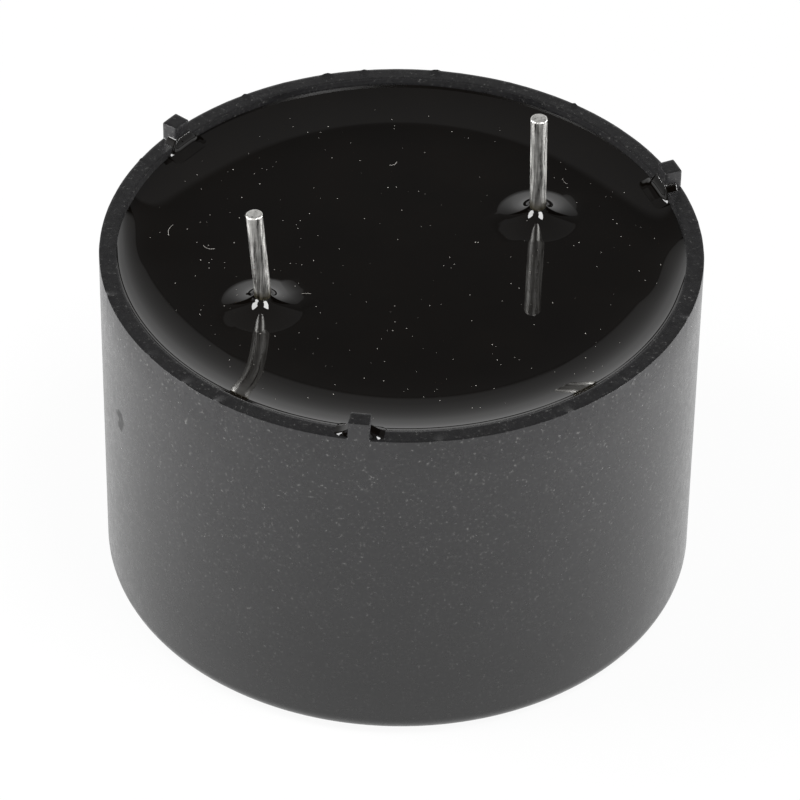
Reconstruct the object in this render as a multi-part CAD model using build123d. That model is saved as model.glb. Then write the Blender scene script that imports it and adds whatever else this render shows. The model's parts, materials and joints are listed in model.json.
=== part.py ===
from build123d import *
import os
from math import atan2, cos, degrees, radians, sin, tan

# Potted self-drive piezo buzzer for a circuit board: a round moulded case, open at the
# back, holds a bending disc, a driver board and two pins, and is filled with resin.
# Millimetres, +Z along the pins. z = 0 is the sound face, the case's axis is the Z axis.

# Case
case_diameter = 29.0
case_height = 18.4
wall = 0.85
face_thickness = 1.3
edge_radius = 0.95
sound_hole_diameter = 4.0
ledge_width = 1.6
front_cavity_depth = 2.4

# Standoff nubs on the rim, moulded with the case
nub_count = 3
nub_azimuth = 22.6
nub_width = 1.0
nub_height = 0.95
nub_top_round = 0.12

# Bending disc: brass plate, ceramic and its two silver electrodes
adhesive_thickness = 0.15
plate_thickness = 0.25
plate_clearance = 0.15
bare_brass_band = 3.5
ceramic_thickness = 0.2
electrode_thickness = 0.03
electrode_margin = 0.7
tongue_width = 3.6
tongue_gap = 0.5
tongue_azimuth = 216.9

# Spacer ring, board and resin
spacer_clearance = 0.15
spacer_wall = 1.3
board_thickness = 1.2
board_clearance = 0.12
copper_thickness = 0.05
track_width = 0.8
resin_depth = 4.3
resin_gap = 0.8
wall_contact_gap = 0.1
wall_meniscus_reach = 2.8
collar_height = 0.55
collar_reach = 1.75
blend_depth = 0.03

# Pins
pin_diameter = 0.8
pin_pitch = 15.0
pin_line_azimuth = 28.85
pin_foot = 0.6
bend_height = 0.15
bend_radius = 2.0
lean_azimuth = 180.0
right_pin_height = 5.1
right_pin_lean = 1.1
left_pin_height = 4.65
left_pin_lean = 4.6
hole_clearance = 0.15

# Solder joints on the board
joint_height = 0.85
joint_tip_radius = 0.32
joint_radius = 0.9
small_joint_radius = 0.48
pin_joint_height = 1.3
pin_joint_radius = 1.35
pin_joint_tip_radius = 0.5
pad_margin = 0.1

# Driver parts under the board
wire_diameter = 0.45
wire_bend = 0.8
choke_offset = 6.2
choke_radius = 3.0
choke_hub_radius = 1.3
choke_flange = 0.8
choke_winding_radius = 2.7
choke_lead_pitch = 3.0
choke_air_gap = 1.8
seat_gap = 0.2
resistor_offset = 4.4
resistor_pitch = 7.62
resistor_length = 3.6
resistor_bead_radius = 0.95
resistor_bead_length = 0.9
resistor_body_radius = 0.8
transistor_offset = 6.2
transistor_pitch = 1.27
transistor_lead_run = 1.5
transistor_length = 4.5
transistor_radius = 2.4
transistor_flat = 1.2

# Leads from the board to the disc
lead_diameter = 0.7
lead_core_diameter = 0.36
lead_bare_end = 1.1
lead_hole_inset = 1.4
disc_solder_radius = 1.0
disc_solder_height = 0.75
disc_solder_inset = 1.8
main_solder_azimuth = -30.0
main_hole_azimuth = -38.0
feedback_hole_azimuth = 218.0
plate_solder_azimuth = 165.0
plate_hole_azimuth = 143.0
edge_track_inset = 1.4

# Heights and radii that follow
case_radius = case_diameter / 2
bore_radius = case_radius - wall
ledge_inner_radius = bore_radius - ledge_width
ledge_top = face_thickness + front_cavity_depth
plate_radius = bore_radius - plate_clearance
plate_bottom = ledge_top + adhesive_thickness
plate_top = plate_bottom + plate_thickness
ceramic_radius = plate_radius - bare_brass_band
ceramic_top = plate_top + ceramic_thickness
electrode_radius = ceramic_radius - electrode_margin
electrode_top = ceramic_top + electrode_thickness
spacer_radius = bore_radius - spacer_clearance
spacer_inner_radius = spacer_radius - spacer_wall
board_radius = bore_radius - board_clearance
resin_level = case_height - resin_gap
board_top = resin_level - resin_depth
board_bottom = board_top - board_thickness
copper_top = board_top + copper_thickness
joint_top = copper_top + joint_height
pin_joint_top = copper_top + pin_joint_height
cavity = board_bottom - electrode_top
pin_radius = pin_diameter / 2
wire_radius = wire_diameter / 2

BASE = (Align.CENTER, Align.CENTER, Align.MIN)


def polar(radius, azimuth):
    return (radius * cos(radians(azimuth)), radius * sin(radians(azimuth)))


def disc(radius, height, z, at=(0, 0)):
    return Pos(at[0], at[1], z) * Cylinder(radius, height, align=BASE)


def ring(outer, inner, height, z):
    return disc(outer, height, z) - disc(inner, height, z)


def tube(path, radius):
    start = Plane(origin=path @ 0, z_dir=path % 0)
    return sweep(start * Circle(radius), path=path)


# Places on the board, with X along the line of the pins
right_pin_at = (pin_pitch / 2, 0)
left_pin_at = (-pin_pitch / 2, 0)
choke_at = [(side * choke_lead_pitch / 2, -choke_offset) for side in (-1, 1)]
emitter_at, base_at, collector_at = [(n * transistor_pitch, transistor_offset) for n in (-1, 0, 1)]
bias_at = [(resistor_offset, side * resistor_pitch / 2) for side in (-1, 1)]
feed_at = [(-resistor_offset, side * resistor_pitch / 2) for side in (-1, 1)]
lead_hole_radius = spacer_inner_radius - lead_hole_inset
main_hole = polar(lead_hole_radius, main_hole_azimuth)
feedback_hole = polar(lead_hole_radius, feedback_hole_azimuth)
plate_hole = polar(lead_hole_radius, plate_hole_azimuth)
wide_joints = choke_at + bias_at + feed_at + [main_hole, feedback_hole, plate_hole]
small_joints = [emitter_at, base_at, collector_at]
pin_places = [right_pin_at, left_pin_at]
holes = [(at, pin_radius + hole_clearance) for at in pin_places]
holes += [(at, wire_radius + hole_clearance) for at in wide_joints + small_joints]

# Places on the disc
main_solder_at = polar(electrode_radius - disc_solder_inset, main_solder_azimuth)
feedback_solder_at = polar(electrode_radius - disc_solder_inset, tongue_azimuth)
plate_solder_at = polar((ceramic_radius + spacer_inner_radius) / 2, plate_solder_azimuth)
plate_solder_radius = 0.45 * (spacer_inner_radius - ceramic_radius)


def nub(azimuth):
    post = extrude(Circle(case_radius) - Circle(bore_radius), nub_height)
    post &= Pos(case_radius, 0, 0) * Box(case_radius, nub_width, 2 * nub_height)
    post = fillet(post.faces().sort_by(Axis.Z)[-1].edges(), nub_top_round)
    return Rot(0, 0, azimuth) * Pos(0, 0, case_height) * post


def make_case():
    body = disc(case_radius, case_height, 0)
    body = fillet(body.edges().sort_by(Axis.Z)[0], edge_radius)
    body -= disc(ledge_inner_radius, case_height, face_thickness)
    body -= disc(bore_radius, case_height, ledge_top)
    body -= disc(sound_hole_diameter / 2, face_thickness, 0)
    for n in range(nub_count):
        body += nub(nub_azimuth + n * 360 / nub_count)
    return body


def tongue(width, inner_end):
    length = electrode_radius - inner_end
    middle = (electrode_radius + inner_end) / 2
    bar = Pos(middle, 0, 0) * Rectangle(length, width)
    bar += Pos(inner_end, 0, 0) * Circle(width / 2)
    return Rot(0, 0, tongue_azimuth) * bar


def make_electrodes():
    inner_end = tongue_width / 2
    face = Circle(electrode_radius)
    feedback = face & tongue(tongue_width, inner_end)
    main = face - tongue(tongue_width + 2 * tongue_gap, inner_end)
    place = Pos(0, 0, ceramic_top)
    return place * extrude(main, electrode_thickness), place * extrude(feedback, electrode_thickness)


def make_board():
    board = disc(board_radius, board_thickness, board_bottom)
    for at, radius in holes:
        board -= disc(radius, board_thickness, board_bottom, at)
    return board


def pad(at, radius):
    return Pos(*at) * Circle(radius)


def track(points):
    strip = Sketch()
    for start, end in zip(points, points[1:]):
        middle = (Vector(*start) + Vector(*end)) / 2
        run = Vector(*end) - Vector(*start)
        angle = degrees(atan2(run.Y, run.X))
        strip += Pos(middle.X, middle.Y) * Rot(0, 0, angle) * SlotCenterToCenter(run.length, track_width)
    return strip


def make_copper():
    edge = board_radius - edge_track_inset
    turns = [polar(edge, azimuth) for azimuth in (45, 25, 5, -15)]
    node = (0, resistor_pitch / 2)
    supply = track([right_pin_at, bias_at[0], (choke_at[1][0], -resistor_pitch / 2), choke_at[0]])
    ground = track([emitter_at, plate_hole, left_pin_at])
    collector = track([collector_at] + turns + [main_hole, choke_at[1]])
    base = track([feed_at[1], node, bias_at[1]]) + track([base_at, node])
    feedback = track([feed_at[0], feedback_hole])
    foil = supply + ground + collector + base + feedback
    for at in wide_joints:
        foil += pad(at, joint_radius + pad_margin)
    for at in small_joints:
        foil += pad(at, small_joint_radius + pad_margin / 2)
    for at in pin_places:
        foil += pad(at, pin_joint_radius + pad_margin)
    for at, radius in holes:
        foil -= pad(at, radius)
    return Pos(0, 0, board_top) * extrude(foil, copper_thickness)


def joint_cone(at, radius, tip_radius, height):
    return Pos(at[0], at[1], copper_top) * Cone(radius, tip_radius, height, align=BASE)


def joint_cones():
    cones = [joint_cone(at, joint_radius, joint_tip_radius, joint_height) for at in wide_joints]
    cones += [joint_cone(at, small_joint_radius, joint_tip_radius, joint_height) for at in small_joints]
    return cones


def pin_cone(at):
    return joint_cone(at, pin_joint_radius, pin_joint_tip_radius, pin_joint_height)


def make_pin(azimuth, height, lean):
    x, y = polar(pin_pitch / 2, azimuth)
    bend = Vector(x, y, case_height + bend_height)
    run = (height - bend_height) / cos(radians(lean))
    side = polar(run * sin(radians(lean)), lean_azimuth)
    tip = bend + Vector(side[0], side[1], run * cos(radians(lean)))
    foot = (x, y, board_bottom - pin_foot)
    return tube(FilletPolyline(foot, bend, tip, radius=bend_radius), pin_radius)


def make_choke():
    height = cavity - choke_air_gap
    bottom = board_bottom - height
    at = (0, -choke_offset)
    core = disc(choke_hub_radius, height, bottom, at)
    core += disc(choke_radius, choke_flange, bottom, at)
    core += disc(choke_radius, choke_flange, board_bottom - choke_flange, at)
    span = height - 2 * choke_flange
    coil = disc(choke_winding_radius, span, bottom + choke_flange, at)
    coil -= disc(choke_hub_radius, span, bottom + choke_flange, at)
    leads = [disc(wire_radius, joint_top - board_bottom, board_bottom, hole) for hole in choke_at]
    return core, coil, leads


def bent_wire(start, hole):
    corner = (hole[0], hole[1], start[2])
    path = FilletPolyline(start, corner, (hole[0], hole[1], joint_top), radius=wire_bend)
    return tube(path, wire_radius)


def make_resistor(holes):
    x = holes[0][0]
    z = board_bottom - seat_gap - resistor_bead_radius
    body = Cylinder(resistor_body_radius, resistor_length)
    for side in (-1, 1):
        middle = side * (resistor_length - resistor_bead_length) / 2
        body += Pos(0, 0, middle) * Cylinder(resistor_bead_radius, resistor_bead_length)
    body = Pos(x, 0, z) * Rot(90, 0, 0) * body
    leads = [bent_wire((x, side * resistor_length / 2, z), hole) for side, hole in zip((-1, 1), holes)]
    return body, leads


def make_transistor():
    z = board_bottom - seat_gap - transistor_flat
    section = Circle(transistor_radius)
    section -= Pos(0, transistor_flat + transistor_radius) * Rectangle(9, 2 * transistor_radius)
    front = transistor_offset - transistor_lead_run
    body = Pos(0, front, z) * Rot(90, 0, 0) * extrude(section, transistor_length)
    leads = [bent_wire((hole[0], front, z), hole) for hole in small_joints]
    return body, leads


def corner_radius(before, corner, after):
    arrive = corner - before
    leave = after - corner
    turn = radians(arrive.get_angle(leave))
    return 0.45 * min(arrive.length, leave.length) / tan(turn / 2)


def make_lead(solder_at, surface, hole):
    """An insulated lead, bare where it is soldered on the disc and where it enters the board."""
    root = Vector(solder_at[0], solder_at[1], surface + 0.4 * disc_solder_height)
    above = Vector(hole[0], hole[1], board_bottom)
    knee = root + (above - root) * 0.4
    knee.Z = surface + 0.27 * cavity
    shoulder = Vector(above.X, above.Y, board_bottom - 0.4 * cavity)
    start = root + (knee - root).normalized() * lead_bare_end
    radii = [corner_radius(start, knee, shoulder), corner_radius(knee, shoulder, above)]
    lead = tube(FilletPolyline(start, knee, shoulder, above, radius=radii), lead_diameter / 2)
    lead += tube(Line(root, start), lead_core_diameter / 2)
    top = Vector(above.X, above.Y, joint_top)
    return lead + tube(Line(above, top), lead_core_diameter / 2)


def solder_dome(at, surface, radius, lead):
    ball = (radius ** 2 + disc_solder_height ** 2) / (2 * disc_solder_height)
    dome = Pos(at[0], at[1], surface + disc_solder_height - ball) * Sphere(ball)
    dome &= disc(2 * radius, 2 * disc_solder_height, surface, at)
    return dome - lead


def meniscus_profile(inner, outer, low, high, rises_outward):
    """Face under a concave arc that is level at its low end."""
    reach = outer - inner
    rise = high - low
    radius = (reach ** 2 + rise ** 2) / (2 * rise)
    foot, crest = (inner, outer) if rises_outward else (outer, inner)
    half = 0.5 * (crest - foot)
    sag = radius - (radius ** 2 - half ** 2) ** 0.5
    arc = ThreePointArc((foot, low), (foot + half, low + sag), (crest, high))
    if rises_outward:
        return arc + Polyline((crest, high), (crest, board_top), (0, board_top), (0, low), (foot, low))
    return arc + Polyline((crest, high), (0, high), (0, board_top), (foot, board_top), (foot, low))


def revolved(outline):
    return revolve(make_face(Plane.XZ * outline), Axis.Z)


def make_resin(pins, copper):
    inner = bore_radius - wall_meniscus_reach
    resin = revolved(meniscus_profile(inner, bore_radius, resin_level, case_height - wall_contact_gap, True))
    low = resin_level - blend_depth
    collar_outer = pin_radius + collar_reach
    collar = revolved(meniscus_profile(pin_radius, collar_outer, low, resin_level + collar_height, False))
    for at in pin_places:
        resin += Pos(*at) * collar
    for cone in joint_cones() + [pin_cone(at) for at in pin_places]:
        resin -= cone
    for at, radius in holes:
        resin -= disc(radius, copper_thickness, board_top, at)
    resin -= copper
    resin = TURN * resin
    for pin in pins:
        resin -= pin
    return resin


TURN = Rot(0, 0, pin_line_azimuth)
pins = {
    "right_pin": make_pin(pin_line_azimuth, right_pin_height, right_pin_lean),
    "left_pin": make_pin(pin_line_azimuth + 180, left_pin_height, left_pin_lean),
}
main_electrode, feedback_electrode = make_electrodes()
choke_core, choke_winding, choke_leads = make_choke()
bias_resistor, bias_leads = make_resistor(bias_at)
feedback_resistor, feed_leads = make_resistor(feed_at)
transistor, transistor_leads = make_transistor()
main_lead = make_lead(main_solder_at, electrode_top, main_hole)
feedback_lead = make_lead(feedback_solder_at, electrode_top, feedback_hole)
plate_lead = make_lead(plate_solder_at, plate_top, plate_hole)
copper = make_copper()
wires = choke_leads + bias_leads + feed_leads + transistor_leads
wires += [main_lead, feedback_lead, plate_lead]
joints = joint_cones()
for wire in wires:
    joints = [joint - wire for joint in joints]

# Pieces that stand square to the line of the pins
board_pieces = {
    "diaphragm_plate": disc(plate_radius, plate_thickness, plate_bottom),
    "diaphragm_adhesive": ring(plate_radius, ledge_inner_radius + spacer_clearance, adhesive_thickness, ledge_top),
    "piezo_ceramic": disc(ceramic_radius, ceramic_thickness, plate_top),
    "main_electrode": main_electrode,
    "feedback_electrode": feedback_electrode,
    "spacer_ring": ring(spacer_radius, spacer_inner_radius, board_bottom - plate_top, plate_top),
    "circuit_board": make_board(),
    "copper_tracks": copper,
    "choke_core": choke_core,
    "choke_winding": choke_winding,
    "choke_leads": Compound(choke_leads),
    "bias_resistor": bias_resistor,
    "bias_resistor_leads": Compound(bias_leads),
    "feedback_resistor": feedback_resistor,
    "feedback_resistor_leads": Compound(feed_leads),
    "transistor": transistor,
    "transistor_leads": Compound(transistor_leads),
    "main_lead": main_lead,
    "feedback_lead": feedback_lead,
    "plate_lead": plate_lead,
    "main_solder": solder_dome(main_solder_at, electrode_top, disc_solder_radius, main_lead),
    "feedback_solder": solder_dome(feedback_solder_at, electrode_top, disc_solder_radius, feedback_lead),
    "plate_solder": solder_dome(plate_solder_at, plate_top, plate_solder_radius, plate_lead),
    "board_solder": Compound(joints),
}

nodes = {"case": make_case()}
nodes.update({name: TURN * piece for name, piece in board_pieces.items()})
nodes.update(pins)
nodes["right_pin_solder"] = TURN * pin_cone(right_pin_at) - pins["right_pin"]
nodes["left_pin_solder"] = TURN * pin_cone(left_pin_at) - pins["left_pin"]
nodes["resin_fill"] = make_resin(pins.values(), copper)

os.makedirs("parts", exist_ok=True)
for name, piece in nodes.items():
    export_step(piece, f"parts/{name}.step")
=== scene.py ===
import json
import math
import random

import bmesh
import bpy
from mathutils import Matrix, Vector, noise


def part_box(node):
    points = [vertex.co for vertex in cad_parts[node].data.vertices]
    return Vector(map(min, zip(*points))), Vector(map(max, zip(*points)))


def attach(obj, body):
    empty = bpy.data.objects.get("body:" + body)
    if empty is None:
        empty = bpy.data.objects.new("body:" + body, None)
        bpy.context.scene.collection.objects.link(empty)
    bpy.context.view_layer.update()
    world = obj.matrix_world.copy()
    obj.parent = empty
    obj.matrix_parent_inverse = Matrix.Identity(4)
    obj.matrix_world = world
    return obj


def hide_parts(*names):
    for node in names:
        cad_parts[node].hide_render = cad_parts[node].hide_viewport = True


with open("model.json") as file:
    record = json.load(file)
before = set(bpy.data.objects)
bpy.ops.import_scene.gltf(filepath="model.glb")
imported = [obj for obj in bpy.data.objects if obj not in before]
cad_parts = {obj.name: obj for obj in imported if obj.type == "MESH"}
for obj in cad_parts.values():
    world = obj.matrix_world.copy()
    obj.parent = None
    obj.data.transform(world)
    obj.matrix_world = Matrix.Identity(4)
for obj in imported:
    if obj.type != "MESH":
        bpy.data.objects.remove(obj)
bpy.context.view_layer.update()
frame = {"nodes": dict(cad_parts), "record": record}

MM = 0.001
TAU = 2 * math.pi

# Case
NUB_HEIGHT = 0.95 * MM
NUB_WIDTH = 1.0 * MM
NUB_AZIMUTHS = [math.radians(22.6 + 120 * n) for n in range(3)]
WALL = 0.85 * MM
EDGE_RADIUS = 0.95 * MM
FACE_THICKNESS = 1.3 * MM
SOUND_HOLE_RADIUS = 2.0 * MM
LEDGE_WIDTH = 1.6 * MM
LEDGE_TOP = 3.7 * MM
MOUTH_ROUND = 0.15 * MM
SIDE_BANDS = 8
INNER_BAND = 1.6 * MM
RIM_BEVEL = 0.06 * MM
SCUFF_AZIMUTH = math.radians(203)
SCUFF_HEIGHT = 12.05 * MM
SCUFF_SIZE = 1.2 * MM
EDGE_BAND = 0.16 * MM
BURR_RARITY = 0.36
BURR_HEIGHT = 0.35 * MM
DENT_DEPTH = 0.012 * MM
ROUGH_BELOW_RIM = 0.4 * MM
ROUGH_ABOVE_RIM = 0.2 * MM
BURR_BELOW_RIM = 0.12 * MM
SAME_PLACE = 1e-7

# Resin and pins
RESIN_BELOW_RIM = 0.8 * MM
PIN_RADIUS = 0.4 * MM
PIN_BEND_HEIGHT = 0.15 * MM

# Camera: distance and aim are in case radii, the lens is in millimetres
CAMERA_ELEVATION = math.radians(39.841)
CAMERA_ROLL = math.radians(0.845)
CAMERA_DISTANCE = 16.865
CAMERA_AIM = (0.0019, -0.6591)
CAMERA_LENS = 223.85
CAMERA_SENSOR = 36.0
CAMERA_NEAR = 0.01

case_low, case_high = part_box("case")
CASE_RADIUS = (case_high.x - case_low.x) / 2
RIM = case_high.z - NUB_HEIGHT
BORE = CASE_RADIUS - WALL
RESIN_LEVEL = RIM - RESIN_BELOW_RIM


# ---------------------------------------------------------------- mesh helpers

def new_object(name, mesh, material):
    obj = bpy.data.objects.new(name, mesh)
    bpy.context.scene.collection.objects.link(obj)
    mesh.materials.append(material)
    return obj


def mesh_from_bmesh(name, bm, material, smooth=True):
    bmesh.ops.recalc_face_normals(bm, faces=bm.faces)
    mesh = bpy.data.meshes.new(name)
    bm.to_mesh(mesh)
    bm.free()
    for polygon in mesh.polygons:
        polygon.use_smooth = smooth
    return new_object(name, mesh, material)


def sharpen(obj, degrees):
    obj.data.set_sharp_from_angle(angle=math.radians(degrees))


def ring_point(radius, azimuth, z):
    return Vector((radius * math.cos(azimuth), radius * math.sin(azimuth), z))


def bumpy(azimuth, height, scale, seed):
    """Smooth noise around the case's axis, from about -1 to 1."""
    place = Vector((math.cos(azimuth) * scale, math.sin(azimuth) * scale, height / MM + seed))
    return noise.noise(place)


# ---------------------------------------------------------------- case

CASE_SEGMENTS = 540


def arc(centre_r, centre_z, radius, start, end, steps):
    turn = [start + (end - start) * n / steps for n in range(steps + 1)]
    return [(centre_r + radius * math.cos(a), centre_z + radius * math.sin(a)) for a in turn]


def case_outline():
    """Half section of the cup as (radius, z), from the sound hole's mouth round to its inner edge."""
    mouth = arc(SOUND_HOLE_RADIUS + MOUTH_ROUND, MOUTH_ROUND, MOUTH_ROUND, math.pi, 1.5 * math.pi, 4)
    edge = arc(CASE_RADIUS - EDGE_RADIUS, EDGE_RADIUS, EDGE_RADIUS, -math.pi / 2, 0, 10)
    straight = RIM - EDGE_RADIUS
    side = [(CASE_RADIUS, EDGE_RADIUS + straight * n / SIDE_BANDS) for n in range(1, SIDE_BANDS)]
    rim = [(CASE_RADIUS, RIM), (CASE_RADIUS - EDGE_BAND, RIM), (BORE + EDGE_BAND, RIM), (BORE, RIM)]
    bore = [(BORE, RIM - INNER_BAND), (BORE, LEDGE_TOP)]
    ledge = [(BORE - LEDGE_WIDTH, LEDGE_TOP), (BORE - LEDGE_WIDTH, FACE_THICKNESS)]
    return mouth + edge + side + rim + bore + ledge + [(SOUND_HOLE_RADIUS, FACE_THICKNESS)]


def near_nub(face):
    centre = face.calc_center_median()
    azimuth = math.atan2(centre.y, centre.x)
    half = NUB_WIDTH / 2 / CASE_RADIUS
    return any(abs(math.remainder(azimuth - nub, TAU)) < half for nub in NUB_AZIMUTHS)


def spin(outline, segments):
    bm = bmesh.new()
    rows = []
    for radius, z in outline:
        rows.append([bm.verts.new(ring_point(radius, TAU * n / segments, z)) for n in range(segments)])
    rows.append(rows[0])
    for low, high in zip(rows, rows[1:]):
        for n in range(segments):
            m = (n + 1) % segments
            bm.faces.new((low[n], low[m], high[m], high[n]))
    return bm


def raise_nubs(bm):
    bm.faces.ensure_lookup_table()
    level = [f for f in bm.faces if all(abs(v.co.z - RIM) < SAME_PLACE for v in f.verts)]
    tops = [f for f in level if near_nub(f)]
    raised = bmesh.ops.extrude_face_region(bm, geom=tops)["geom"]
    verts = [item for item in raised if isinstance(item, bmesh.types.BMVert)]
    bmesh.ops.translate(bm, vec=(0, 0, NUB_HEIGHT), verts=verts)
    bmesh.ops.delete(bm, geom=tops, context="FACES")


def bevel_rim(bm):
    bm.normal_update()
    edges = []
    for edge in bm.edges:
        if len(edge.link_faces) == 2 and min(v.co.z for v in edge.verts) > RIM - SAME_PLACE:
            if edge.calc_face_angle(0) > math.radians(60):
                edges.append(edge)
    bmesh.ops.bevel(bm, geom=edges, offset=RIM_BEVEL, segments=2, profile=0.6, affect="EDGES",
                    clamp_overlap=True)


def rough_rim(bm):
    """Burrs along the rim's outer edge, and shallow dents all round the rim."""
    for v in bm.verts:
        if v.co.z < RIM - ROUGH_BELOW_RIM or v.co.z > RIM + ROUGH_ABOVE_RIM:
            continue
        radius = math.hypot(v.co.x, v.co.y)
        azimuth = math.atan2(v.co.y, v.co.x)
        outer = max(0.0, 1 - (CASE_RADIUS - radius) / (0.9 * EDGE_BAND))
        wave = bumpy(azimuth, v.co.z, 9, 3.1) + 0.7 * bumpy(azimuth, v.co.z, 26, 8.4)
        burr = max(0.0, bumpy(azimuth, v.co.z, 40, 1.7) - BURR_RARITY)
        if v.co.z > RIM - BURR_BELOW_RIM:
            v.co.z += outer * burr * BURR_HEIGHT
        scale = 1 - abs(wave) * DENT_DEPTH / CASE_RADIUS
        v.co.x *= scale
        v.co.y *= scale


def make_case():
    bm = spin(case_outline(), CASE_SEGMENTS)
    bmesh.ops.recalc_face_normals(bm, faces=bm.faces)
    raise_nubs(bm)
    bevel_rim(bm)
    rough_rim(bm)
    case = mesh_from_bmesh("moulded_case", bm, case_plastic())
    sharpen(case, 40)
    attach(case, "root")
    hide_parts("case")


# ---------------------------------------------------------------- resin

RESIN_SEGMENTS = 400
RESIN_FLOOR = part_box("resin_fill")[0].z
RESIN_TOP_GAP = 0.02 * MM
RESIN_STEP = 0.5 * MM
RESIN_FINE_STEP = 0.09 * MM
RESIN_WALL_STEP = 0.03 * MM
SWELL_HEIGHT = 0.004 * MM
SWELL_LENGTH = 6 * MM
BACK_BEGINS = -0.2
BACK_ENDS = 0.2
BACK_TILT = 0.09
BACK_SHIFT = 0.02
WALL_RISE_FRONT = 0.71 * MM
WALL_RISE_BACK = 0.42 * MM
WALL_CURL_FRONT = 1.17 * MM
WALL_CURL_BACK = 1.4 * MM
WALL_CURL_AT_SIDES = 0.92 * MM
CURL_UNEVENNESS = 0.06
LIP_RISE = 0.055 * MM
LIP_CURL = 0.13 * MM
COLLAR_RISE = 0.44 * MM
COLLAR_CURL = 0.49 * MM
COLLAR_REACH = 1.62 * MM
COLLAR_EDGE_SLOPE = 0.13
FILLET_RISE = 0.33 * MM
FILLET_CURL = 0.40 * MM
FILLET_REACH = 1.1 * MM
FILLET_SPREAD = 0.34 * MM
FILLET_INWARD = 2.8
FILLET_GRID = 44
FILLET_HALF = 1.15 * MM
FILLET_EDGE_FADE = 0.35 * MM
FILLET_SINK = 0.012 * MM
FILLET_DEPTH = 1.0 * MM


def pin_axis(node):
    """Middle of the pin's straight foot, from the lowest vertices of its CAD solid."""
    obj = frame["nodes"][node]
    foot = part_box(node)[0].z
    points = [v.co for v in obj.data.vertices if v.co.z < foot + 0.1 * MM]
    return Vector((sum(p.x for p in points), sum(p.y for p in points), 0)) / len(points)


PIN_FEET = {node: pin_axis(node) for node in ("left_pin", "right_pin")}


def smooth_step(low, high, value):
    share = min(1.0, max(0.0, (value - low) / (high - low)))
    return share * share * (3 - 2 * share)


def climb(away, rise, curl):
    """Height of liquid that climbs a wall, at a distance from it: steep at the wall, then dying away."""
    return rise * math.exp(-max(0.0, away) / curl)


def collar(away):
    """Resin drawn up a pin: steep at the pin, ending in a crisp edge where it meets the level resin."""
    if away > COLLAR_REACH:
        return 0.0
    left = COLLAR_REACH - max(0.0, away)
    end = climb(COLLAR_REACH, COLLAR_RISE, COLLAR_CURL)
    return COLLAR_EDGE_SLOPE * left + climb(away, COLLAR_RISE, COLLAR_CURL) - end


def resin_height(x, y):
    """Height of the resin's face, which climbs the wall higher at the front than at the back."""
    radius = math.hypot(x, y)
    azimuth = math.atan2(y, x)
    back = math.sin(azimuth) + BACK_TILT * math.cos(azimuth) - BACK_SHIFT
    toward_back = smooth_step(BACK_BEGINS, BACK_ENDS, back)
    rise = WALL_RISE_FRONT + (WALL_RISE_BACK - WALL_RISE_FRONT) * toward_back
    curl_front = WALL_CURL_FRONT + (WALL_CURL_AT_SIDES - WALL_CURL_FRONT) * math.cos(azimuth) ** 4
    curl = curl_front + (WALL_CURL_BACK - curl_front) * toward_back
    curl *= 1 + CURL_UNEVENNESS * bumpy(azimuth, 0, 1.6, 5.7)
    lip = climb(BORE - radius, LIP_RISE, LIP_CURL) * (1 - toward_back)
    height = climb(BORE - radius, rise, curl) + lip
    for foot in PIN_FEET.values():
        height += collar(math.hypot(x - foot.x, y - foot.y) - PIN_RADIUS)
    swell = SWELL_HEIGHT * noise.noise(Vector((x, y, 0)) / SWELL_LENGTH)
    return min(RESIN_LEVEL + height + swell, RIM - RESIN_TOP_GAP)


def resin_radii():
    """Rings from the middle outwards, closer together near the pins and the wall."""
    radii = []
    radius = 0.5 * MM
    reach = PIN_FEET["right_pin"].length
    while radius < BORE:
        radii.append(radius)
        near_pin = abs(radius - reach) < 1.9 * MM
        near_wall = BORE - radius < 3 * MM
        step = RESIN_FINE_STEP if near_pin or near_wall else RESIN_STEP
        radius += step if BORE - radius > 0.4 * MM else RESIN_WALL_STEP
    return radii + [BORE]


def make_resin():
    bm = bmesh.new()
    rows = []
    for radius in resin_radii():
        row = []
        for n in range(RESIN_SEGMENTS):
            p = ring_point(radius, TAU * n / RESIN_SEGMENTS, 0)
            row.append(bm.verts.new((p.x, p.y, resin_height(p.x, p.y))))
        rows.append(row)
    rows.append([bm.verts.new((v.co.x, v.co.y, RESIN_FLOOR)) for v in rows[-1]])
    for inner, outer in zip(rows, rows[1:]):
        for n in range(RESIN_SEGMENTS):
            m = (n + 1) % RESIN_SEGMENTS
            bm.faces.new((inner[n], outer[n], outer[m], inner[m]))
    for row, z in ((rows[0], resin_height(0, 0)), (rows[-1], RESIN_FLOOR)):
        centre = bm.verts.new((0, 0, z))
        for n in range(RESIN_SEGMENTS):
            bm.faces.new((row[n], row[(n + 1) % RESIN_SEGMENTS], centre))
    resin = mesh_from_bmesh("potting_resin", bm, resin_gloss())
    sharpen(resin, 60)
    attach(resin, "root")
    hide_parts("resin_fill")


def outside_nub(across, out):
    """Distance from a nub's footprint; across and out are measured from its middle."""
    return math.hypot(max(0.0, abs(across) - NUB_WIDTH / 2), max(0.0, abs(out) - WALL / 2))


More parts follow.
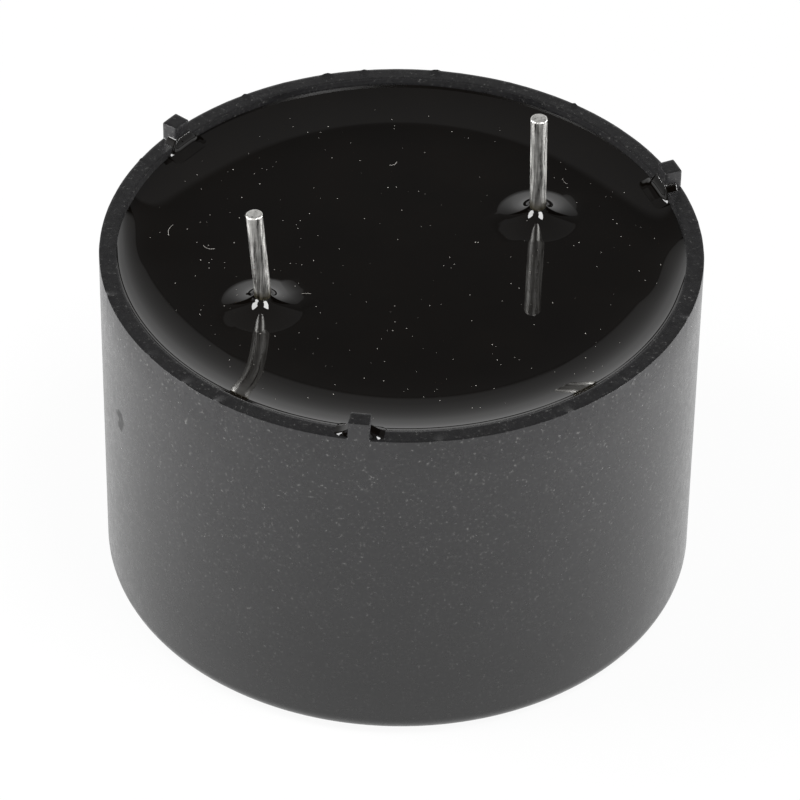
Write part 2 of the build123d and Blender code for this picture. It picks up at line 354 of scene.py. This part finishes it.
def make_fillet(bm, nub):
    """Resin that has crept round one nub's foot, over the rim and the edge of the fill."""
    middle = BORE + WALL / 2
    outward, along = ring_point(1, nub, 0), ring_point(1, nub + math.pi / 2, 0)
    grid = {}
    for i in range(FILLET_GRID + 1):
        for j in range(FILLET_GRID + 1):
            across = (2 * i / FILLET_GRID - 1) * FILLET_HALF
            out = -FILLET_HALF + (FILLET_HALF + WALL / 2) * j / FILLET_GRID
            p = outward * (middle + out) + along * across
            radius = min(math.hypot(p.x, p.y), CASE_RADIUS - RIM_BEVEL)
            p = p.normalized() * radius
            fill = p.normalized() * min(radius, BORE)
            under = resin_height(fill.x, fill.y)
            away = outside_nub(across, out)
            inward = FILLET_INWARD * max(0.0, BORE - radius)
            spread = math.exp(-(math.hypot(away, inward) / FILLET_SPREAD) ** 2)
            lift = (RIM - under) * spread + climb(away, FILLET_RISE, FILLET_CURL)
            lift *= smooth_step(CASE_RADIUS - RIM_BEVEL, CASE_RADIUS - FILLET_EDGE_FADE, radius)
            lift *= smooth_step(FILLET_REACH, 0.5 * FILLET_REACH, away)
            z = under + lift - FILLET_SINK
            grid[i, j] = [bm.verts.new((p.x, p.y, z)), bm.verts.new((p.x, p.y, RIM - FILLET_DEPTH))]
    for side, turn in ((0, 1), (1, -1)):
        for i in range(FILLET_GRID):
            for j in range(FILLET_GRID):
                corners = ((i, j), (i + 1, j), (i + 1, j + 1), (i, j + 1))
                bm.faces.new([grid[corner][side] for corner in corners][::turn])
    last = FILLET_GRID
    edge = [(i, 0) for i in range(last)] + [(last, j) for j in range(last)]
    edge += [(i, last) for i in range(last, 0, -1)] + [(0, j) for j in range(last, 0, -1)]
    for one, two in zip(edge, edge[1:] + edge[:1]):
        bm.faces.new((grid[one][0], grid[one][1], grid[two][1], grid[two][0]))


def make_fillets():
    bm = bmesh.new()
    for nub in NUB_AZIMUTHS:
        make_fillet(bm, nub)
    fillets = mesh_from_bmesh("resin_at_nubs", bm, resin_gloss())
    sharpen(fillets, 60)
    return fillets


# ---------------------------------------------------------------- pins

PIN_SEGMENTS = 64
PIN_ROWS = 60
PIN_CHAMFER = 0.035 * MM
PIN_TIP_SLOPE = 0.004 * MM
PIN_WEAR = 0.012


def pin_line(node):
    """Foot, bend and tip of the pin's centre line."""
    low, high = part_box(node)
    foot = PIN_FEET[node]
    obj = frame["nodes"][node]
    tips = [v.co for v in obj.data.vertices if v.co.z > high.z - 0.09 * MM]
    tip = sum(tips, Vector()) / len(tips)
    return Vector((foot.x, foot.y, low.z)), Vector((foot.x, foot.y, RIM + PIN_BEND_HEIGHT)), tip


def make_pin(node, name):
    foot, bend, tip = pin_line(node)
    lean = (tip - bend).normalized()
    top = (tip - bend).length
    bm = bmesh.new()
    rows = []
    up = Vector((0, 0, 1))
    stations = [(foot, up, PIN_RADIUS), (bend - Vector((0, 0, 0.5 * MM)), up, PIN_RADIUS)]
    for n in range(PIN_ROWS):
        stations.append((bend + lean * (top * n / PIN_ROWS), lean, PIN_RADIUS))
    stations.append((bend + lean * (top - PIN_CHAMFER), lean, PIN_RADIUS))
    stations.append((bend + lean * (top - PIN_TIP_SLOPE), lean, PIN_RADIUS - PIN_CHAMFER))
    stations.append((bend + lean * top, lean, PIN_RADIUS - 2.2 * PIN_CHAMFER))
    for centre, axis, radius in stations:
        side = axis.cross(Vector((0, 1, 0))).normalized()
        front = axis.cross(side)
        row = []
        for n in range(PIN_SEGMENTS):
            a = TAU * n / PIN_SEGMENTS
            place = Vector((math.cos(a) * 1.5, math.sin(a) * 1.5, centre.z / MM * 0.6))
            wear = 1 - PIN_WEAR * abs(noise.noise(place))
            row.append(bm.verts.new(centre + (side * math.cos(a) + front * math.sin(a)) * radius * wear))
        rows.append(row)
    for low_row, high_row in zip(rows, rows[1:]):
        for n in range(PIN_SEGMENTS):
            m = (n + 1) % PIN_SEGMENTS
            bm.faces.new((low_row[n], low_row[m], high_row[m], high_row[n]))
    for row in (rows[0], rows[-1]):
        bm.faces.new(row)
    pin = mesh_from_bmesh(name, bm, tinned_pin(node))
    sharpen(pin, 50)
    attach(pin, "root")
    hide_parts(node)


# ---------------------------------------------------------------- dust on the resin

DUST_COUNT = 260
DUST_FROM_WALL = 1.2 * MM
DUST_FROM_PIN = 0.9 * MM
LINT_RADIUS = 0.009 * MM
LINT_STEPS = 12
# Each fibre: azimuth in degrees, distance out as a share of the bore, length in millimetres
LINT_FIBRES = [(168, 0.83, 0.9), (176, 0.66, 0.7), (95, 0.55, 0.5), (-150, 0.4, 0.45), (40, 0.75, 0.5)]


def make_dust():
    """Specks that lie on the resin, well inside the wall and clear of the pins."""
    rng = random.Random(11)
    bm = bmesh.new()
    for n in range(DUST_COUNT):
        radius = (BORE - DUST_FROM_WALL) * math.sqrt(rng.random())
        at = ring_point(radius, rng.random() * TAU, 0)
        if min((at - foot).length for foot in PIN_FEET.values()) < DUST_FROM_PIN:
            continue
        size = rng.uniform(0.010, 0.030) * MM
        z = resin_height(at.x, at.y) + size * 0.4
        made = bmesh.ops.create_icosphere(bm, subdivisions=1, radius=size)["verts"]
        for v in made:
            stretch = 1 + 0.5 * noise.noise(v.co / size + Vector((n, 0, 0)))
            v.co = Vector((v.co.x * stretch, v.co.y * stretch, v.co.z * 0.5)) + Vector((at.x, at.y, z))
    return mesh_from_bmesh("dust_specks", bm, dust_material())


def lint_path(start, heading, length, curl, rng):
    points = []
    at = start.copy()
    for _ in range(LINT_STEPS + 1):
        points.append(at.copy())
        heading += curl / LINT_STEPS + rng.uniform(-0.08, 0.08)
        at += Vector((math.cos(heading), math.sin(heading), 0)) * length / LINT_STEPS
    return points


def make_lint():
    rng = random.Random(5)
    curve = bpy.data.curves.new("lint", "CURVE")
    curve.dimensions = "3D"
    curve.bevel_depth = LINT_RADIUS
    curve.bevel_resolution = 1
    for azimuth, share, length in LINT_FIBRES:
        start = ring_point(BORE * share, math.radians(azimuth), 0)
        path = lint_path(start, rng.random() * TAU, length * MM, rng.uniform(-1.6, 1.6), rng)
        spline = curve.splines.new("NURBS")
        spline.points.add(len(path) - 1)
        for point, p in zip(spline.points, path):
            point.co = (p.x, p.y, resin_height(p.x, p.y) + 0.02 * MM, 1)
        spline.order_u = 3
        spline.use_endpoint_u = True
    return new_object("lint_fibres", curve, dust_material())


# ---------------------------------------------------------------- materials

def new_material(name):
    material = bpy.data.materials.new(name)
    material.use_nodes = True
    nodes = material.node_tree.nodes
    return material, nodes, material.node_tree.links, nodes["Principled BSDF"]


def add(nodes, kind, **values):
    node = nodes.new(kind)
    for key, value in values.items():
        if key in node.inputs:
            node.inputs[key].default_value = value
        else:
            setattr(node, key, value)
    return node


def object_noise(nodes, links, scale, detail, roughness):
    """Noise in object space; scale is in features per metre."""
    place = nodes.new("ShaderNodeTexCoord")
    grain = add(nodes, "ShaderNodeTexNoise", Scale=scale, Detail=detail, Roughness=roughness)
    links.new(place.outputs["Object"], grain.inputs["Vector"])
    return grain.outputs["Fac"]


def ramp(nodes, links, source, stops):
    """stops is [(position, grey or colour)]."""
    node = nodes.new("ShaderNodeValToRGB")
    elements = node.color_ramp.elements
    while len(elements) < len(stops):
        elements.new(0.5)
    for element, (position, colour) in zip(elements, stops):
        element.position = position
        element.color = (colour, colour, colour, 1) if isinstance(colour, float) else (*colour, 1)
    links.new(source, node.inputs["Fac"])
    return node.outputs["Color"]


def bump(nodes, links, source, strength, distance, after=None):
    node = add(nodes, "ShaderNodeBump", Strength=strength, Distance=distance)
    links.new(source, node.inputs["Height"])
    if after is not None:
        links.new(after, node.inputs["Normal"])
    return node.outputs["Normal"]


def maths(nodes, links, operation, first, second):
    node = add(nodes, "ShaderNodeMath", operation=operation)
    for source, socket in ((first, node.inputs[0]), (second, node.inputs[1])):
        if isinstance(source, (int, float)):
            socket.default_value = source
        else:
            links.new(source, socket)
    return node.outputs[0]


def product(nodes, links, first, second):
    """Two colours multiplied."""
    node = nodes.new("ShaderNodeMix")
    node.data_type = "RGBA"
    node.blend_type = "MULTIPLY"
    node.inputs["Factor"].default_value = 1.0
    inputs = [socket for socket in node.inputs if socket.type == "RGBA"]
    links.new(first, inputs[0])
    links.new(second, inputs[1])
    return [socket for socket in node.outputs if socket.type == "RGBA"][0]


def scuff_mask(nodes, links, place):
    """1 on a small rubbed patch on the case's side, ragged at its edge, and 0 elsewhere."""
    away = add(nodes, "ShaderNodeVectorMath", operation="DISTANCE")
    links.new(place.outputs["Object"], away.inputs[0])
    away.inputs[1].default_value = ring_point(CASE_RADIUS, SCUFF_AZIMUTH, SCUFF_HEIGHT)
    ragged = object_noise(nodes, links, 2500, 3.0, 0.6)
    share = maths(nodes, links, "DIVIDE", away.outputs["Value"], SCUFF_SIZE)
    near = ramp(nodes, links, share, [(0.2, 1.0), (0.9, 0.0)])
    return ramp(nodes, links, maths(nodes, links, "MULTIPLY", near, ragged), [(0.30, 0.0), (0.42, 1.0)])


def case_plastic():
    """Matte black moulding: cloudy, with sparse pale specks, and smoother where it faces up. Painted shade
    darkens the upward faces and the low side, and painted light brightens the side near the rim.
    """
    material, nodes, links, shader = new_material("case_plastic")
    place = nodes.new("ShaderNodeTexCoord")
    fine = object_noise(nodes, links, 6000, 2.0, 0.6)
    coarse = object_noise(nodes, links, 2400, 3.0, 0.6)
    cloudy = object_noise(nodes, links, 420, 3.0, 0.6)
    speck = ramp(nodes, links, fine, [(0.0, (0.0055, 0.0052, 0.0060)), (0.52, (0.0085, 0.0082, 0.0090)),
                                      (0.64, (0.015, 0.0147, 0.015)), (0.76, (0.10, 0.099, 0.097))])
    tone = ramp(nodes, links, cloudy, [(0.3, 0.80), (0.7, 1.15)])
    height = nodes.new("ShaderNodeSeparateXYZ")
    links.new(place.outputs["Object"], height.inputs["Vector"])
    share_up = maths(nodes, links, "DIVIDE", height.outputs["Z"], RIM)
    # Painted shade and light: the colour darkens towards the bottom of the case and brightens towards the
    # rim.
    shade_by_height = ramp(nodes, links, share_up, [(0.0, 0.2), (1.0, 1.6)])
    facing = nodes.new("ShaderNodeNewGeometry")
    normal = nodes.new("ShaderNodeSeparateXYZ")
    links.new(facing.outputs["Normal"], normal.inputs["Vector"])
    # Painted shade: the colour darkens on faces that look up, such as the rim and the nub tops.
    top = ramp(nodes, links, normal.outputs["Z"], [(0.55, 1.0), (0.9, 0.4)])
    scuff = scuff_mask(nodes, links, place)
    dull = ramp(nodes, links, scuff, [(0.0, 1.0), (1.0, 0.25)])
    colour = product(nodes, links, product(nodes, links, speck, tone), product(nodes, links, shade_by_height, top))
    links.new(product(nodes, links, colour, dull), shader.inputs["Base Color"])
    rough = ramp(nodes, links, coarse, [(0.3, 0.24), (0.7, 0.34)])
    smoother = ramp(nodes, links, normal.outputs["Z"], [(0.55, 1.0), (0.9, 0.85)])
    rougher = maths(nodes, links, "ADD", maths(nodes, links, "MULTIPLY", rough, smoother),
                    maths(nodes, links, "MULTIPLY", scuff, 0.35))
    links.new(rougher, shader.inputs["Roughness"])
    shader.inputs["Specular IOR Level"].default_value = 0.62
    shader.inputs["Sheen Weight"].default_value = 0.06
    shader.inputs["Sheen Roughness"].default_value = 0.35
    first = bump(nodes, links, coarse, 0.10, 0.03 * MM)
    links.new(bump(nodes, links, fine, 0.15, 0.012 * MM, first), shader.inputs["Normal"])
    return material


def resin_gloss():
    """Near-black glossy potting resin with a faint haze, some dirt and long ripples."""
    material, nodes, links, shader = new_material("resin_gloss")
    haze = object_noise(nodes, links, 220, 3.0, 0.6)
    dirt = object_noise(nodes, links, 5200, 2.0, 0.7)
    colour = ramp(nodes, links, haze, [(0.35, (0.0014, 0.0009, 0.0006)), (0.7, (0.0022, 0.0015, 0.0010))])
    links.new(colour, shader.inputs["Base Color"])
    links.new(ramp(nodes, links, dirt, [(0.55, 0.02), (0.8, 0.07)]), shader.inputs["Roughness"])
    ripple = object_noise(nodes, links, 320, 1.0, 0.4)
    links.new(bump(nodes, links, ripple, 0.05, 0.01 * MM), shader.inputs["Normal"])
    return material


STAIN_BELOW_RIM = 0.3 * MM
STAIN_HEIGHT = 1.2 * MM


def tinned_pin(node_name):
    """Tinned wire: grey metal with fine drawn lines and grains, stained where the resin has crept up."""
    material, nodes, links, shader = new_material("tinned_" + node_name)
    place = nodes.new("ShaderNodeTexCoord")
    stretch = add(nodes, "ShaderNodeMapping")
    stretch.inputs["Scale"].default_value = (9000, 9000, 500)
    links.new(place.outputs["Object"], stretch.inputs["Vector"])
    lines = add(nodes, "ShaderNodeTexNoise", Scale=1.0, Detail=3.0, Roughness=0.6)
    links.new(stretch.outputs["Vector"], lines.inputs["Vector"])
    blotch = object_noise(nodes, links, 2200, 3.0, 0.6)
    grain = object_noise(nodes, links, 7000, 2.0, 0.7)
    metal = ramp(nodes, links, blotch, [(0.3, (0.62, 0.61, 0.59)), (0.7, (0.86, 0.85, 0.83))])
    height = nodes.new("ShaderNodeSeparateXYZ")
    links.new(place.outputs["Object"], height.inputs["Vector"])
    risen = maths(nodes, links, "SUBTRACT", height.outputs["Z"], RIM - STAIN_BELOW_RIM)
    above = maths(nodes, links, "DIVIDE", risen, STAIN_HEIGHT)
    ragged = maths(nodes, links, "ADD", above, maths(nodes, links, "MULTIPLY", blotch, 0.35))
    stain = ramp(nodes, links, ragged, [(0.35, (0.42, 0.38, 0.27)), (0.75, (0.98, 0.98, 0.97))])
    links.new(product(nodes, links, metal, stain), shader.inputs["Base Color"])
    shader.inputs["Metallic"].default_value = 1.0
    rough = ramp(nodes, links, lines.outputs["Fac"], [(0.35, 0.24), (0.65, 0.56)])
    links.new(rough, shader.inputs["Roughness"])
    first = bump(nodes, links, lines.outputs["Fac"], 0.25, 0.01 * MM)
    links.new(bump(nodes, links, grain, 0.8, 0.02 * MM, first), shader.inputs["Normal"])
    return material


def dust_material():
    material, nodes, links, shader = new_material("pale_dust")
    tone = object_noise(nodes, links, 900, 2.0, 0.5)
    colour = ramp(nodes, links, tone, [(0.3, (0.28, 0.26, 0.24)), (0.7, (0.55, 0.53, 0.50))])
    links.new(colour, shader.inputs["Base Color"])
    shader.inputs["Roughness"].default_value = 0.9
    return material


INNER_RELIEF = 0.006 * MM


def inner_material(name, dark, light, scale, roughness, metallic):
    """Mottled finish for the pieces inside: colour between dark and light, with a fine relief."""
    material, nodes, links, shader = new_material(name)
    mottle = object_noise(nodes, links, scale, 4.0, 0.6)
    links.new(ramp(nodes, links, mottle, [(0.3, dark), (0.7, light)]), shader.inputs["Base Color"])
    rough = ramp(nodes, links, mottle, [(0.3, roughness - 0.06), (0.7, roughness + 0.06)])
    links.new(rough, shader.inputs["Roughness"])
    shader.inputs["Metallic"].default_value = metallic
    links.new(bump(nodes, links, mottle, 0.3, INNER_RELIEF), shader.inputs["Normal"])
    return material


# Each finish: dark and light colours, grain in features per metre, roughness, and how metallic it is
INNER_FINISHES = {
    "solder": ((0.50, 0.50, 0.50), (0.72, 0.72, 0.71), 1800, 0.25, 1.0),
    "brass_plate": ((0.62, 0.44, 0.18), (0.76, 0.57, 0.27), 500, 0.32, 1.0),
    "piezo": ((0.74, 0.70, 0.60), (0.84, 0.81, 0.73), 3500, 0.62, 0.0),
    "silver": ((0.66, 0.66, 0.64), (0.82, 0.82, 0.80), 3000, 0.45, 1.0),
    "silicone": ((0.74, 0.74, 0.71), (0.84, 0.84, 0.82), 700, 0.5, 0.0),
    "ring_plastic": ((0.022, 0.022, 0.024), (0.05, 0.05, 0.052), 4000, 0.5, 0.0),
    "board": ((0.36, 0.24, 0.11), (0.50, 0.36, 0.18), 1400, 0.55, 0.0),
    "copper": ((0.62, 0.27, 0.14), (0.78, 0.40, 0.24), 900, 0.3, 1.0),
    "ferrite": ((0.03, 0.03, 0.032), (0.07, 0.07, 0.074), 5000, 0.6, 0.0),
    "enamel_wire": ((0.36, 0.10, 0.03), (0.60, 0.24, 0.09), 2500, 0.28, 1.0),
    "component_wire": ((0.52, 0.52, 0.51), (0.72, 0.72, 0.70), 2500, 0.3, 1.0),
    "resistor_body": ((0.52, 0.40, 0.22), (0.66, 0.53, 0.33), 1500, 0.35, 0.0),
    "transistor_body": ((0.015, 0.015, 0.016), (0.035, 0.035, 0.036), 6000, 0.5, 0.0),
    "lead_red": ((0.42, 0.02, 0.015), (0.56, 0.04, 0.03), 1200, 0.4, 0.0),
    "lead_black": ((0.012, 0.012, 0.012), (0.03, 0.03, 0.03), 1200, 0.4, 0.0),
    "lead_blue": ((0.03, 0.07, 0.32), (0.05, 0.12, 0.44), 1200, 0.4, 0.0),
}


def finish_inner_nodes():
    """Gives the CAD nodes inside the case their finishes; the nodes that are replaced are left out."""
    slots = {entry["node"]: entry["material_slot"] for entry in frame["record"]["subparts"]}
    made = {}
    for node, obj in frame["nodes"].items():
        slot = slots[node]
        if slot not in INNER_FINISHES:
            continue
        if slot not in made:
            dark, light, scale, roughness, metallic = INNER_FINISHES[slot]
            made[slot] = inner_material("inner_" + slot, dark, light, scale, roughness, metallic)
        obj.data.materials.clear()
        obj.data.materials.append(made[slot])


# ---------------------------------------------------------------- stage

FLOOR_WHITE_SEEN = 0.93
FLOOR_WHITE_MIRRORED = 0.85
FLOOR_HALF_WIDTH = 3.0
FLOOR_DROP = 0.02 * MM


def make_floor():
    bm = bmesh.new()
    bmesh.ops.create_grid(bm, x_segments=2, y_segments=2, size=FLOOR_HALF_WIDTH)
    floor = mesh_from_bmesh("floor", bm, floor_material(), smooth=False)
    floor.location.z = -FLOOR_DROP


def floor_material():
    """Pale floor that takes a faint shadow: mostly white light to the camera and in mirrored rays."""
    material, nodes, links, shader = new_material("white_floor")
    shader.inputs["Base Color"].default_value = (0.8, 0.8, 0.8, 1)
    shader.inputs["Roughness"].default_value = 0.9
    path = nodes.new("ShaderNodeLightPath")
    glow = add(nodes, "ShaderNodeEmission", Strength=1.0)
    mirrored = maths(nodes, links, "MAXIMUM",
                     path.outputs["Is Glossy Ray"], path.outputs["Is Transmission Ray"])
    share = maths(nodes, links, "MAXIMUM",
                  maths(nodes, links, "MULTIPLY", path.outputs["Is Camera Ray"], FLOOR_WHITE_SEEN),
                  maths(nodes, links, "MULTIPLY", mirrored, FLOOR_WHITE_MIRRORED))
    mix = nodes.new("ShaderNodeMixShader")
    links.new(share, mix.inputs["Fac"])
    links.new(shader.outputs["BSDF"], mix.inputs[1])
    links.new(glow.outputs["Emission"], mix.inputs[2])
    links.new(mix.outputs["Shader"], nodes["Material Output"].inputs["Surface"])
    return material


# Ramps of grey against the upward part of a ray's direction, and against its larger sideways part
ROOM = [(0.0, 0.02), (0.572, 0.02), (0.580, 0.125), (0.655, 0.095), (0.668, 0.21), (1.0, 0.21)]
BACKDROP = [(0.0, 0.3), (0.012, 0.3), (0.02, 1.0), (0.34, 0.85), (0.50, 0.42), (0.572, 0.27), (0.580, 0.0)]
BACKDROP_SPREAD = [(0.765, 0.0), (0.778, 1.0)]


def make_world():
    """A dim room with a white backdrop low on each of its four sides; the camera sees it as white."""
    world = bpy.data.worlds.new("studio")
    bpy.context.scene.world = world
    world.use_nodes = True
    nodes, links = world.node_tree.nodes, world.node_tree.links
    background = nodes["Background"]
    place = nodes.new("ShaderNodeTexCoord")
    split = nodes.new("ShaderNodeSeparateXYZ")
    links.new(place.outputs["Generated"], split.inputs["Vector"])
    facing = maths(nodes, links, "MAXIMUM", maths(nodes, links, "ABSOLUTE", split.outputs["X"], 0.0),
                   maths(nodes, links, "ABSOLUTE", split.outputs["Y"], 0.0))
    backdrop = maths(nodes, links, "MULTIPLY", ramp(nodes, links, split.outputs["Z"], BACKDROP),
                     ramp(nodes, links, facing, BACKDROP_SPREAD))
    light = maths(nodes, links, "MAXIMUM", backdrop, ramp(nodes, links, split.outputs["Z"], ROOM))
    path = nodes.new("ShaderNodeLightPath")
    seen = maths(nodes, links, "MAXIMUM", light, path.outputs["Is Camera Ray"])
    links.new(seen, background.inputs["Color"])
    background.inputs["Strength"].default_value = 1.0


def area_light(name, place, target, size, power):
    light = bpy.data.lights.new(name, "AREA")
    light.shape = "RECTANGLE"
    light.size, light.size_y = size
    light.energy = power
    obj = bpy.data.objects.new(name, light)
    bpy.context.scene.collection.objects.link(obj)
    obj.location = place
    obj.rotation_euler = (Vector(target) - Vector(place)).to_track_quat("-Z", "Y").to_euler()


def make_lights():
    aim = (0, 0, RIM)
    area_light("overhead_left", (-0.20, -0.012, 0.286 + RIM), aim, (0.13, 0.13), 0.8)
    area_light("overhead_right", (0.105, -0.088, 0.322 + RIM), aim, (0.12, 0.12), 0.8)
    area_light("left_fill", (-0.32, 0.0, 0.5 * RIM), aim, (0.30, 0.02), 1.2)
    area_light("right_fill", (0.32, 0.0, 0.5 * RIM), aim, (0.30, 0.02), 1.2)


def make_camera():
    """Looks along +Y and down, at a point given from the middle of the rim's plane."""
    target = Vector((CAMERA_AIM[0] * CASE_RADIUS, 0, RIM + CAMERA_AIM[1] * CASE_RADIUS))
    back = Vector((0, -math.cos(CAMERA_ELEVATION), math.sin(CAMERA_ELEVATION)))
    camera_data = bpy.data.cameras.new("camera")
    camera_data.sensor_width = CAMERA_SENSOR
    camera_data.lens = CAMERA_LENS
    camera_data.clip_start = CAMERA_NEAR
    camera = bpy.data.objects.new("camera", camera_data)
    bpy.context.scene.collection.objects.link(camera)
    look = (-back).to_track_quat("-Z", "Y").to_matrix().to_4x4()
    roll = Matrix.Rotation(CAMERA_ROLL, 4, "Z")
    camera.matrix_world = Matrix.Translation(target + back * CAMERA_DISTANCE * CASE_RADIUS) @ look @ roll
    bpy.context.scene.camera = camera


# ---------------------------------------------------------------- scene

make_camera()
make_case()
make_resin()
make_pin("left_pin", "left_tinned_pin")
make_pin("right_pin", "right_tinned_pin")
for piece in (make_fillets(), make_dust(), make_lint()):
    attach(piece, "root")
finish_inner_nodes()
make_floor()
make_world()
make_lights()
bpy.context.scene.view_settings.view_transform = "Standard"
